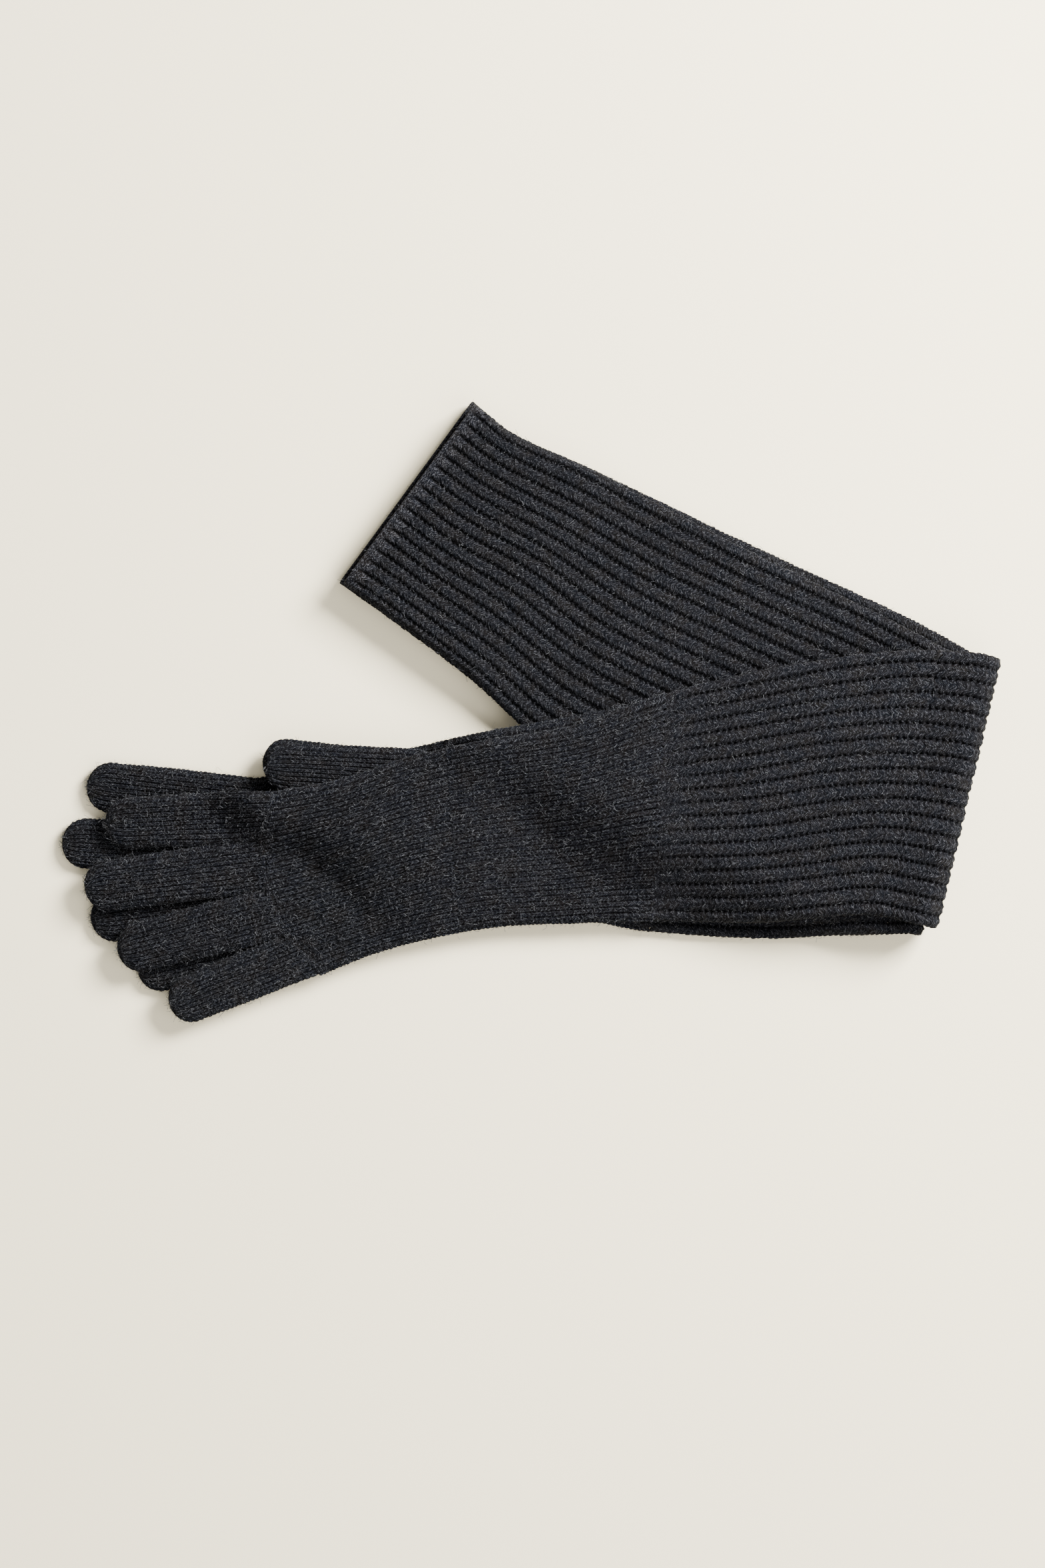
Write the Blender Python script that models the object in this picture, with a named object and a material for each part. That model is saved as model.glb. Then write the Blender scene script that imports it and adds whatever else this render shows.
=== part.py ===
"""A pair of long knitted gloves, laid palm to palm and folded across the sleeves.

The left glove lies on top with the back of the hand up, the right glove under it with the palm up. Both
sleeves are folded under along one line, the left glove's sleeve outside the right glove's. Every knitted
tube lies flat, so each piece is a soft slab with rounded edges: rows of points down the glove's length.
"""
import math

import bmesh
import bpy
from mathutils import Vector

# Cloth, in metres.
TUBE = 0.0052
THUMB_TUBE = 0.0038
MOUTH_TUBE = 0.0076
PLY = 0.0014
GAP = 0.0003
LAYER = TUBE + GAP

# The fold across the sleeves: where its outer edge lies, how it is turned, and the bend round its core.
FOLD_EDGE = Vector((0.1816, -0.0336))
FOLD_TURN = 76.6
FOLD_WIDTH = 0.114
FOLD_RADIUS = 2 * LAYER - GAP / 2
FOLD_ROWS = 4
FOLD_FIRST_TURN = 88

# The sleeves' mouths: how deep the hollow is, how wide its side folds and the bound-off edge are.
MOUTH_DEPTH = 0.050
MOUTH_TAPER = 0.040
SIDE_FOLD = 0.004
WELT_LENGTH = 0.006

# Where the upper cloth comes down off the folded sleeve ends: a level margin past their edge, then a smooth
# drop. The left glove comes down one step further out than the right glove under it. The edge is taken
# between two sections of the left sleeve's end.
DRAPE_MARGIN = 0.006
DRAPE_LENGTH = 0.018
DRAPE_STEP = 0.0035
DRAPE_SECTIONS = (2, 3)

# The left hand's rise over the two thumbs: a level margin, then a smooth drop.
THUMB_MARGIN = 0.008
THUMB_DROP = 0.014

FINGER_CLEARANCE = 0.0005
THUMB_WIDTH = 0.0208

# How finely the slabs are cut: along each tube, across a sleeve, across a sleeve's end, and round the soft
# edges and the fingertips, where points lie at these shares and angles.
ROW_STEP = 0.009
END_ROW_STEP = 0.0144
SLEEVE_COLUMNS = 12
END_COLUMNS = 6
EDGE_SHARE = 0.36
THINNEST_EDGE = 0.06
SHARP_ANGLE = 50
FINGER_ROW_SHARES = (0, 0.2, 0.4, 0.6, 0.8)
TIP_TURNS = (90, 65, 45, 22)
TIP_EDGE_SHARE = 0.6
ROOT_COLUMN_SHARES = (0, 0.045, 0.125, 0.5, 0.875, 0.955, 1)
ROOT_ROW_SHARES = (0, 0.08, 0.22)

# Sections of each glove after the fold: run from the last section, heading, width and turn across.
LEFT_SLEEVE = [(0.0288, 175.5, 0.109, 81.8), (0.0441, 186.7, 0.105, 86.2), (0.0443, 186.5, 0.0936, 86.9)]
LEFT_WRIST = [(0.0362, 191.0, 0.0813, 88.6), (0.0357, 186.7, 0.0765, 93.7)]
LEFT_PALM = [(0.0311, 191.4, 0.0752, 94.6), (0.0247, 197.7, 0.0736, 97.0)]
LEFT_KNUCKLES = (0.0236, 195.0)
LEFT_END = [(0.0380, 151.6, 0.1115, 69.5), (0.0606, 154.9, 0.1105, 65.8), (0.0522, 154.6, 0.1103, 60.1),
            (0.0413, 147.1, 0.0999, 58.8), (0.0368, 149.1, 0.0918, 56.6), (0.0241, 143.5, 0.0931, 53.8)]
RIGHT_SLEEVE = [(0.0334, 182.2, 0.1108, 83.3), (0.0392, 185.4, 0.1055, 87.3), (0.0445, 182.6, 0.0956, 87.6)]
RIGHT_WRIST = [(0.0350, 181.2, 0.0830, 88.6), (0.0358, 187.2, 0.0782, 93.7)]
RIGHT_PALM = [(0.0305, 189.9, 0.0757, 93.8), (0.0255, 191.9, 0.0753, 95.3)]
RIGHT_KNUCKLES = (0.0313, 192.5)
RIGHT_END = [(0.0409, 150.0, 0.1093, 71.3), (0.0594, 154.3, 0.1085, 67.2), (0.0526, 153.3, 0.1095, 60.5),
             (0.0399, 145.1, 0.0980, 59.0), (0.0363, 149.4, 0.0901, 56.3), (0.0231, 143.3, 0.0911, 53.7)]

# How far the right glove's fold lies along the fold line from the left glove's.
RIGHT_SHIFT = -0.0045

# The hand's end, from the thumb's side: how far across each finger's two sides lie from the knuckles'
# middle, and how far ahead of it each finger starts. Every finger starts square across, so all bend alike.
FORKS = [0.0410, 0.0215, 0.0003, -0.0195, -0.0394]
FINGER_STARTS = [0.0070, 0.0140, 0.0140, 0.0060]
FORK_STEP = 0.0003

# Where the hand's columns lie across each finger's start, and its last rows before the end, as shares.
HAND_EDGE_SHARES = [(0, 0.45, 0.87, 0.95, 1), (0, 0.5, 1), (0, 0.5, 1), (0, 0.05, 0.13, 0.55, 1)]
HAND_END_SHARES = (0.72, 0.90, 1)
FINGERS = ["index_finger", "middle_finger", "ring_finger", "little_finger"]
FINGER_WIDTHS = [0.021, 0.021, 0.021, 0.0195]
FINGER_LENGTHS = [0.0678, 0.0750, 0.0682, 0.0600]
LEFT_FINGER_HEADINGS = [182.5, 187.3, 194.4, 202.0]
RIGHT_FINGER_HEADINGS = [173.6, 177.2, 187.5, 193.0]

# The thumbs' pivots from the wrist's bend (across, ahead), with each thumb's heading and reach.
LEFT_THUMB = (0.0316, 0.0230, 177.0, 0.0500)
RIGHT_THUMB = (0.0250, 0.0217, 172.6, 0.0548)

WOOL = (0.042, 0.044, 0.050)
WOOL_SHADES = {"sleeve": 0.90, "hand": 1.0, "finger": 1.08, "thumb": 1.0, "welt": 0.80}


def direction(degrees):
    """The plan direction at this angle from +X."""
    return Vector((math.cos(math.radians(degrees)), math.sin(math.radians(degrees))))


def smooth(value):
    """0 to 1 with no corner at either end."""
    value = min(max(value, 0.0), 1.0)
    return value * value * (3 - 2 * value)


def rounded(distance, radius):
    """How much of its thickness a soft edge has at this distance in from the edge."""
    inset = 1 - min(max(distance / radius, THINNEST_EDGE), 1.0)
    return math.sqrt(1 - inset * inset)


def sections_from(start, steps):
    """(middle, half width as a vector) of each section after the start point."""
    middle = start.copy()
    sections = []
    for run, heading, width, turn in steps:
        middle = middle + direction(heading) * run
        sections.append((middle.copy(), direction(turn) * width / 2))
    return sections


def between(sections, step=ROW_STEP):
    """Sections at even steps along a smooth curve through the given ones, which it keeps."""
    ends = [sections[0]] + list(sections) + [sections[-1]]
    rows = []
    for before, first, second, after in zip(ends, ends[1:], ends[2:], ends[3:]):
        count = max(1, round((second[0] - first[0]).length / step))
        for index in range(count):
            share = index / count
            square, cube = share ** 2, share ** 3
            weights = (-0.5 * share + square - 0.5 * cube, 1 - 2.5 * square + 1.5 * cube,
                       0.5 * share + 2 * square - 1.5 * cube, -0.5 * square + 0.5 * cube)
            points = (before, first, second, after)
            rows.append(tuple(sum((weight * point[part] for weight, point in zip(weights, points)),
                                  Vector((0, 0))) for part in (0, 1)))
    return rows + [sections[-1]]


def columns(width, count):
    """Distances across a section: close together where the edges are rounded, even between."""
    edge = TUBE / 2
    inner = [edge + (width - 2 * edge) * index / count for index in range(count + 1)]
    return [0, edge * EDGE_SHARE] + inner + [width - edge * EDGE_SHARE, width]


def slab(name, rows, mid_height, half_thickness, shade):
    """A soft closed slab: rows of plan points, with its middle's height and half its thickness at each."""
    bm = bmesh.new()
    last_row, last_column = len(rows) - 1, len(rows[0]) - 1
    bmesh.ops.create_grid(bm, x_segments=last_row, y_segments=last_column, size=1)
    skin = bmesh.ops.extrude_face_region(bm, geom=bm.faces[:])["geom"]
    bmesh.ops.recalc_face_normals(bm, faces=bm.faces[:])
    upper = {vert for vert in skin if isinstance(vert, bmesh.types.BMVert)}
    for vert in bm.verts:
        row = round((vert.co.x + 1) / 2 * last_row)
        column = round((vert.co.y + 1) / 2 * last_column)
        side = 1 if vert in upper else -1
        vert.co = place(rows[row][column], mid_height(row, column) + side * half_thickness(row, column))
    if bm.calc_volume(signed=True) < 0:
        bmesh.ops.reverse_faces(bm, faces=bm.faces[:])
    mesh = bpy.data.meshes.new(name)
    bm.to_mesh(mesh)
    bm.free()
    mesh.shade_smooth()
    mesh.set_sharp_from_angle(angle=math.radians(SHARP_ANGLE))
    obj = bpy.data.objects.new(name, mesh)
    obj.data.materials.append(wool(shade))
    return obj


def place(point, height):
    """A plan point at this height or, where it comes with an angle, bent that far round the fold's core."""
    if len(point) == 2:
        return Vector((point[0], point[1], height))
    angle = point[2]
    core = FOLD_RADIUS
    out = direction(FOLD_TURN - 90) * abs(height - core) * math.sin(angle)
    lift = max(abs(height - core) * math.cos(angle), GAP / 2)
    return Vector((point[0] + out.x, point[1] + out.y, core + math.copysign(lift, height - core)))


def wool(shade):
    """Charcoal wool, a little lighter or darker by piece."""
    name = "wool_" + shade
    if name in bpy.data.materials:
        return bpy.data.materials[name]
    material = bpy.data.materials.new(name)
    material.use_nodes = True
    shader = material.node_tree.nodes["Principled BSDF"]
    tone = WOOL_SHADES[shade]
    shader.inputs["Base Color"].default_value = (WOOL[0] * tone, WOOL[1] * tone, WOOL[2] * tone, 1)
    shader.inputs["Roughness"].default_value = 0.95
    shader.inputs["Metallic"].default_value = 0.0
    return material


def drape(point, edge, margin):
    """How far the cloth has come down off the folded sleeve ends: 0 on them, 1 clear of them."""
    start, along = edge[0], (edge[1] - edge[0]).normalized()
    away = (Vector(point[:2]) - start).dot(Vector((-along.y, along.x)))
    return smooth((away - margin) / DRAPE_LENGTH)


def over_thumbs(point, thumbs):
    """How far the cloth is raised over the thumbs at this plan point, as a share of their height."""
    share = 0
    for pivot, tip in thumbs:
        along = min(max((Vector(point[:2]) - pivot).dot(tip - pivot) / (tip - pivot).length_squared, 0), 1)
        away = (Vector(point[:2]) - pivot.lerp(tip, along)).length - THUMB_WIDTH / 2
        share = max(share, 1 - smooth((away - THUMB_MARGIN) / THUMB_DROP))
    return share


def spread(section, width_count):
    """The points across one section, from its lower side to its upper side."""
    middle, half = section
    width = 2 * half.length
    return [middle - half + half.normalized() * distance for distance in columns(width, width_count)]


def side_factor(row):
    """The soft edge's share of thickness at each point across a row."""
    width = (Vector(row[-1][:2]) - Vector(row[0][:2])).length
    factors = []
    for point in row:
        distance = (Vector(point[:2]) - Vector(row[0][:2])).length
        factors.append(rounded(min(distance, width - distance), TUBE / 2))
    return factors


def fold_rows(section, count):
    """The rows that bend round the fold's core, from the fold's edge back to where the tube lies level."""
    angles = [math.radians(FOLD_FIRST_TURN) * (1 - index / FOLD_ROWS) for index in range(FOLD_ROWS)]
    return [[(point.x, point.y, angle) for point in spread(section, count)] for angle in angles]


def leg(name, sections, bottom, shade, from_fold=True):
    """A stretch of sleeve, with its bend round the fold's core if it starts there."""
    rows = [spread(section, SLEEVE_COLUMNS) for section in between(sections)]
    if from_fold:
        rows = fold_rows(sections[0], SLEEVE_COLUMNS) + rows
    factors = [side_factor(row) for row in rows]
    return slab(name, rows, lambda row, column: bottom(rows[row][column]) + TUBE / 2,
                lambda row, column: factors[row][column] * TUBE / 2, shade)


def finger_starts(knuckles, heading):
    """The two plan points that each finger starts between, the one towards the little finger first."""
    ahead, across = direction(heading), direction(heading - 90)
    return [(knuckles + across * lower + ahead * start, knuckles + across * upper + ahead * start)
            for upper, lower, start in zip(FORKS, FORKS[1:], FINGER_STARTS)]


def hand_end(knuckles, heading):
    """The hand's last row of points, from the little finger's side, with a step at each fork, and the share
    of the hand's width where each point lies."""
    starts = finger_starts(knuckles, heading)
    across = direction(heading - 90)
    points = []
    for index in reversed(range(len(FINGERS))):
        lower, upper = starts[index]
        if index < len(FINGERS) - 1:
            lower = lower + across * FORK_STEP / 2
        if index > 0:
            upper = upper - across * FORK_STEP / 2
        points += [lower.lerp(upper, share) for share in HAND_EDGE_SHARES[index]]
    width = FORKS[0] - FORKS[-1]
    return points, [((point - knuckles).dot(across) - FORKS[-1]) / width for point in points]


def hand(name, sections, knuckles, heading, bottom):
    """The palm and back of the hand: from the wrist's bend to where the fingers start."""
    end, shares = hand_end(knuckles, heading)
    rows = [[middle - half + half * 2 * share for share in shares] for middle, half in between(sections)]
    last = rows[-1]
    reach = round((end[len(end) // 2] - last[len(end) // 2]).length / ROW_STEP)
    rows += [[a.lerp(b, step / reach) for a, b in zip(last, end)] for step in range(1, reach)]
    rows += [[a.lerp(b, share) for a, b in zip(rows[-1], end)] for share in HAND_END_SHARES]
    factors = [side_factor(row) for row in rows]

    def half_thickness(row, column):
        from_end = (rows[-1][column] - rows[row][column]).length
        return min(factors[row][column], rounded(from_end, TUBE / 2)) * TUBE / 2

    def middle(row, column):
        return bottom(rows[row][column]) + TUBE / 2

    return slab(name, rows, middle, half_thickness, "hand")


def round_ended(name, root, heading, reach, width, thickness, height, shade, root_row=None):
    """A finger or thumb: a flat tube with a round tip, and a round root unless its first row is given."""
    ahead, across = direction(heading), direction(heading - 90)
    radius = width / 2
    quarter = [(radius * math.cos(math.radians(turn)), radius * math.sin(math.radians(turn)))
               for turn in TIP_TURNS]
    profile = [(reach * share, radius) for share in FINGER_ROW_SHARES]
    profile += [(reach + ahead_of, half) for ahead_of, half in quarter]
    if root_row is None:
        profile = [(-behind, half) for behind, half in reversed(quarter[1:])] + profile
    rows = []
    for along, half in profile:
        middle = root + ahead * along
        edge = min(thickness / 2, half * TIP_EDGE_SHARE)
        near = [0, edge * EDGE_SHARE, edge]
        distances = near + [half] + [2 * half - distance for distance in reversed(near)]
        rows.append([middle + across * (distance - half) for distance in distances])
    if root_row is not None:
        first = [root_row[0].lerp(root_row[1], share) for share in ROOT_COLUMN_SHARES]
        rows[:1] = [[a.lerp(b, share) for a, b in zip(first, rows[1])] for share in ROOT_ROW_SHARES]
    ends = (root - ahead * radius, root + ahead * (reach + radius))

    def half_thickness(row, column):
        point = rows[row][column]
        width_here = (rows[row][-1] - rows[row][0]).length
        from_side = (point - rows[row][0]).length
        from_tip = (ends[1] - point).dot(ahead)
        from_root = (point - ends[0]).dot(ahead)
        if root_row is not None:
            from_root = (point - rows[0][column]).length
        nearest = min(from_side, width_here - from_side, from_tip, from_root)
        return rounded(nearest, thickness / 2) * thickness / 2

    return slab(name, rows, lambda row, column: height + thickness / 2, half_thickness, shade)


def finger(name, ends, index, heading, height):
    """A finger, a gap off the hand's end between two forks. Returns it with its hinge's middle and line."""
    lower, upper = ends
    line = (upper - lower).normalized()
    ahead = direction(heading)
    off = Vector((-line.y, line.x)) * GAP
    row = (lower + line * FINGER_CLEARANCE + off, upper - line * FINGER_CLEARANCE + off)
    root = (row[0] + row[1]) / 2
    width = FINGER_WIDTHS[index]
    reach = FINGER_LENGTHS[index] - width / 2
    obj = round_ended(name, root, heading, reach, width, TUBE, height, "finger", root_row=row)
    hinge = root + Vector((-line.y, line.x)) * TUBE / 2
    return obj, hinge, line


def mouth_height(depth_from_mouth):
    """How thick the sleeve's end is at this distance from its mouth."""
    share = smooth((depth_from_mouth - MOUTH_DEPTH) / MOUTH_TAPER)
    return MOUTH_TUBE + (TUBE - MOUTH_TUBE) * share


def sleeve_end(name, sections, stack, cutters):
    """The sleeve's folded-under end: level at the fold, and hollow at the mouth, where the hand goes in."""
    mouth = sections[-1]
    inward = (sections[-2][0] - mouth[0]).normalized()
    sections = sections[:-1] + [(mouth[0] + inward * (WELT_LENGTH + GAP), mouth[1])]
    level = between(sections, END_ROW_STEP)
    rows = fold_rows(sections[0], END_COLUMNS) + [spread(section, END_COLUMNS) for section in level]
    factors = [side_factor(row) for row in rows]
    line = mouth[1].normalized()

    def thickness(point):
        from_mouth = abs((Vector(point[:2]) - mouth[0]).dot(Vector((line.y, -line.x))))
        return mouth_height(from_mouth)

    def middle(row, column):
        tall = thickness(rows[row][column])
        return stack * (tall + GAP) + tall / 2

    obj = slab(name, rows, middle,
               lambda row, column: factors[row][column] * thickness(rows[row][column]) / 2, "sleeve")
    hollow(obj, mouth, inward, WELT_LENGTH + MOUTH_DEPTH, stack, cutters)
    return obj


def hollow(obj, mouth, inward, depth, stack, cutters):
    """Cuts the flat hollow between the two plies, in from the mouth."""
    half = mouth[1] - mouth[1].normalized() * SIDE_FOLD
    outside = mouth[0] - inward * WELT_LENGTH
    inside = mouth[0] + inward * depth
    rows = [[outside - half, outside + half], [inside - half, inside + half]]
    middle = stack * (MOUTH_TUBE + GAP) + MOUTH_TUBE / 2
    cutter = slab(obj.name + "_hollow", rows, lambda row, column: middle,
                  lambda row, column: MOUTH_TUBE / 2 - PLY, "sleeve")
    cutter.hide_render = True
    cutter.display_type = "WIRE"
    cutters.objects.link(cutter)
    cut = obj.modifiers.new("hollow", "BOOLEAN")
    cut.operation = "DIFFERENCE"
    cut.solver = "EXACT"
    cut.object = cutter


def welt(name, sections, stack, cutters):
    """The bound-off edge round the sleeve's mouth."""
    mouth = sections[-1]
    inward = (sections[-2][0] - mouth[0]).normalized()
    rows = [spread((mouth[0] + inward * depth, mouth[1]), END_COLUMNS)
            for depth in (0, WELT_LENGTH / 2, WELT_LENGTH)]
    factors = [side_factor(row) for row in rows]
    middle = stack * (MOUTH_TUBE + GAP) + MOUTH_TUBE / 2
    obj = slab(name, rows, lambda row, column: middle,
               lambda row, column: factors[row][column] * MOUTH_TUBE / 2, "welt")
    hollow(obj, mouth, inward, WELT_LENGTH * 2, stack, cutters)
    return obj


def split_at_gap(sections, gap):
    """The same sections, with the last one drawn back by a clearance from the next piece."""
    middle, half = sections[-1]
    back = (sections[-2][0] - middle).normalized()
    return sections[:-1] + [(middle + back * gap, half)]


def hinge_empty(name, at, height, line, parent, things):
    """An empty on a joint's axis, with its X along the axis, that carries what turns there."""
    empty = bpy.data.objects.new(name, None)
    empty.location = (at.x, at.y, height)
    empty.rotation_euler = (0, 0, math.atan2(line.y, line.x))
    empty.empty_display_size = 0.01
    things.objects.link(empty)
    hang(empty, parent)
    return empty


def hang(obj, parent):
    """Parents the object and leaves it where it is."""
    if parent is None:
        return
    bpy.context.view_layer.update()
    obj.parent = parent
    obj.matrix_parent_inverse = parent.matrix_world.inverted()


def build_glove(side, upper, plan, edge, thumbs, things, cutters):
    """One glove: the upper one lies over the lower one in every layer above the folded sleeve ends."""
    core = FOLD_EDGE - direction(FOLD_TURN - 90) * FOLD_RADIUS
    if not upper:
        core = core + direction(FOLD_TURN) * RIGHT_SHIFT
    fold = (core, direction(FOLD_TURN) * FOLD_WIDTH / 2)
    sleeve = [fold] + sections_from(core, plan["sleeve"])
    wrist = [sleeve[-1]] + sections_from(sleeve[-1][0], plan["wrist"])
    palm = [wrist[-1]] + sections_from(wrist[-1][0], plan["palm"])
    end = [fold] + sections_from(core, plan["end"])
    run, heading = plan["knuckles"]
    knuckles = palm[-1][0] + direction(heading) * run
    lift = LAYER if upper else 0.0
    margin = DRAPE_MARGIN + (DRAPE_STEP if upper else 0.0)

    def bottom(point):
        return lift + 2 * LAYER * (1 - drape(point, edge, margin))

    def hand_bottom(point):
        rise = 2 * (THUMB_TUBE + GAP) * over_thumbs(point, thumbs) if upper else 0.0
        return bottom(point) + rise

    stack = 0 if upper else 1
    pieces = [sleeve_end(side + "_sleeve_end", end, stack, cutters),
              welt(side + "_sleeve_welt", end, stack, cutters)]
    fore = leg(side + "_sleeve", sleeve, bottom, "sleeve")
    knit_wrist = leg(side + "_wrist", split_at_gap([shift_start(wrist, GAP)] + wrist[1:], GAP), hand_bottom,
                     "hand", from_fold=False)
    back = hand(side + "_hand", palm, knuckles, heading, hand_bottom)
    pieces += [fore, knit_wrist, back]

    fold_hinge = hinge_empty(side + "_fold_axis", FOLD_EDGE, FOLD_RADIUS, direction(FOLD_TURN), None,
                             things)
    bend = wrist[-1]
    bend_height = 4 * LAYER + GAP if upper else 0.0
    wrist_hinge = hinge_empty(side + "_wrist_axis", bend[0], bend_height, bend[1], fold_hinge, things)

    starts = finger_starts(knuckles, heading)
    for index, finger_name in enumerate(FINGERS):
        name = side + "_" + finger_name
        obj, at, line = finger(name, starts[index], index, plan["headings"][index], lift)
        hinge = hinge_empty(name + "_axis", at, lift + TUBE / 2, line, wrist_hinge, things)
        things.objects.link(obj)
        hang(obj, hinge)

    pivot, tip = thumbs[0] if upper else thumbs[1]
    thumb_height = TUBE + GAP + (THUMB_TUBE + GAP if upper else 0.0)
    turn = math.degrees(math.atan2(tip.y - pivot.y, tip.x - pivot.x))
    thumb = round_ended(side + "_thumb", pivot, turn, (tip - pivot).length, THUMB_WIDTH, THUMB_TUBE,
                        thumb_height, "thumb")
    thumb_hinge = hinge_empty(side + "_thumb_axis", pivot, thumb_height, Vector((1, 0)), wrist_hinge,
                              things)
    for obj in pieces + [thumb]:
        things.objects.link(obj)
    hang(thumb, thumb_hinge)
    hang(fore, fold_hinge)
    hang(knit_wrist, fold_hinge)
    hang(back, wrist_hinge)


def shift_start(sections, gap):
    """The first section, moved on by a clearance from the piece before."""
    middle, half = sections[0]
    return middle + (sections[1][0] - middle).normalized() * gap, half


def thumb_line(plan, core):
    """The thumb's pivot and the middle of its round tip."""
    wrist = sections_from(core, plan["sleeve"] + plan["wrist"])[-1][0]
    heading = plan["knuckles"][1]
    across, ahead, turn, reach = plan["thumb"]
    pivot = wrist + direction(heading - 90) * across + direction(heading) * ahead
    return pivot, pivot + direction(turn) * reach


def lower_edge(steps, core):
    """Two points on the edge of a sleeve's end that the upper cloth comes down over."""
    sections = [(core, None)] + sections_from(core, steps)
    return [sections[index][0] - sections[index][1] for index in DRAPE_SECTIONS]


def clear_scene():
    for obj in list(bpy.data.objects):
        bpy.data.objects.remove(obj, do_unlink=True)


def collection(name):
    made = bpy.data.collections.new(name)
    bpy.context.scene.collection.children.link(made)
    return made


LEFT = {"sleeve": LEFT_SLEEVE, "wrist": LEFT_WRIST, "palm": LEFT_PALM, "knuckles": LEFT_KNUCKLES,
        "end": LEFT_END, "headings": LEFT_FINGER_HEADINGS, "thumb": LEFT_THUMB}
RIGHT = {"sleeve": RIGHT_SLEEVE, "wrist": RIGHT_WRIST, "palm": RIGHT_PALM, "knuckles": RIGHT_KNUCKLES,
         "end": RIGHT_END, "headings": RIGHT_FINGER_HEADINGS, "thumb": RIGHT_THUMB}

clear_scene()
gloves = collection("knitted_gloves")
gloves_cutters = collection("cutters")
left_core = FOLD_EDGE - direction(FOLD_TURN - 90) * FOLD_RADIUS
right_core = left_core + direction(FOLD_TURN) * RIGHT_SHIFT
both_thumbs = [thumb_line(LEFT, left_core), thumb_line(RIGHT, right_core)]
end_edge = lower_edge(LEFT_END, left_core)
build_glove("left_glove", True, LEFT, end_edge, both_thumbs, gloves, gloves_cutters)
build_glove("right_glove", False, RIGHT, end_edge, both_thumbs, gloves, gloves_cutters)
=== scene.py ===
"""A pair of long charcoal wool gloves, laid palm to palm and folded across the sleeves.

Every piece is one knitted tube lying flat. Its stitches are real shapes: the mesh rows run along the two
legs of each stitch, so the grooves between stitches are mesh edges.
"""
import math

import bmesh
import bpy
import numpy as np
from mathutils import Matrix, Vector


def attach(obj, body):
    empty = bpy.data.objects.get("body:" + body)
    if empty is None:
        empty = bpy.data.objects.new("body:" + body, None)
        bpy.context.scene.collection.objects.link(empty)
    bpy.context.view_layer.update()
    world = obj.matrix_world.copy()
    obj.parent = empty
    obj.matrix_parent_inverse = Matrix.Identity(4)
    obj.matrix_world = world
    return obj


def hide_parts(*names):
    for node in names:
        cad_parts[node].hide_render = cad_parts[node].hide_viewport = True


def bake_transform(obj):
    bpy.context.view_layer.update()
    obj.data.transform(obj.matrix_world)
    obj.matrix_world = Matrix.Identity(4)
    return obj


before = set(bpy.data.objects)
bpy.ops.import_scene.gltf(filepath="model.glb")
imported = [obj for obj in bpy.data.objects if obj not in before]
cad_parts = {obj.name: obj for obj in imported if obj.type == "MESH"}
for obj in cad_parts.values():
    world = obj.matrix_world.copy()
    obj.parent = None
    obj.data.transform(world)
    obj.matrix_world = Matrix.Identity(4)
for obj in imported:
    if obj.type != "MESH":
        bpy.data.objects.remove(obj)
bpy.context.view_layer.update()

# ---------------------------------------------------------------------------------------------------
# Sleeve ends: each glove's long sleeve is a wool tube in one by one rib, folded back under the glove.
# Knit columns stand up as ribs and the purl columns between them sink in, with a hole at every course.
# They were knitted in the round from the mouth, so each stitch opens towards the fingers.
# ---------------------------------------------------------------------------------------------------
TUBE = 0.0052
MOUTH_TUBE = 0.0076
PLY = 0.0014
GAP = 0.0003
LAYER = TUBE + GAP
STITCH_INSET = 0.0004
FOLD_EDGE = np.array([0.1816, -0.0336])
FOLD_TURN = 76.6
FOLD_WIDTH = 0.114
FOLD_RADIUS = 2 * LAYER - GAP / 2
MOUTH_DEPTH = 0.050
MOUTH_TAPER = 0.040
BOUND_EDGE = 0.006
FOLD_REACH = 0.012
SLEEVE_EDGE = 0.0036
RIBS = 36
RIB_COURSE = 0.0025
END_COURSE = 0.00235
STEPS_PER_SPAN = 24
# (run, heading, width, turn) of each section after the fold.
LEFT_END = [(0.0380, 151.6, 0.1115, 69.5), (0.0606, 154.9, 0.1105, 65.8), (0.0522, 154.6, 0.1103, 60.1),
            (0.0413, 147.1, 0.0999, 58.8), (0.0368, 149.1, 0.0918, 56.6), (0.0241, 143.5, 0.0931, 53.8)]
RIGHT_END = [(0.0409, 150.0, 0.1093, 71.3), (0.0594, 154.3, 0.1085, 67.2), (0.0526, 153.3, 0.1095, 60.5),
             (0.0399, 145.1, 0.0980, 59.0), (0.0363, 149.4, 0.0901, 56.3), (0.0231, 143.3, 0.0911, 53.7)]
RIGHT_SHIFT = -0.0045


def direction(degrees):
    """The plan direction at this angle from +X."""
    return np.array([math.cos(math.radians(degrees)), math.sin(math.radians(degrees))])


def smooth(value):
    """0 to 1 with no corner at either end."""
    value = np.clip(value, 0, 1)
    return value * value * (3 - 2 * value)


def trace(start, steps, width=FOLD_WIDTH, turn=FOLD_TURN):
    """Rows of (middle x, y, half width x, y) for each section, the start one first."""
    middle = np.array(start)
    rows = [np.concatenate([middle, direction(turn) * width / 2])]
    for run, heading, width, turn in steps:
        middle = middle + direction(heading) * run
        rows.append(np.concatenate([middle, direction(turn) * width / 2]))
    return np.array(rows)


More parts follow.
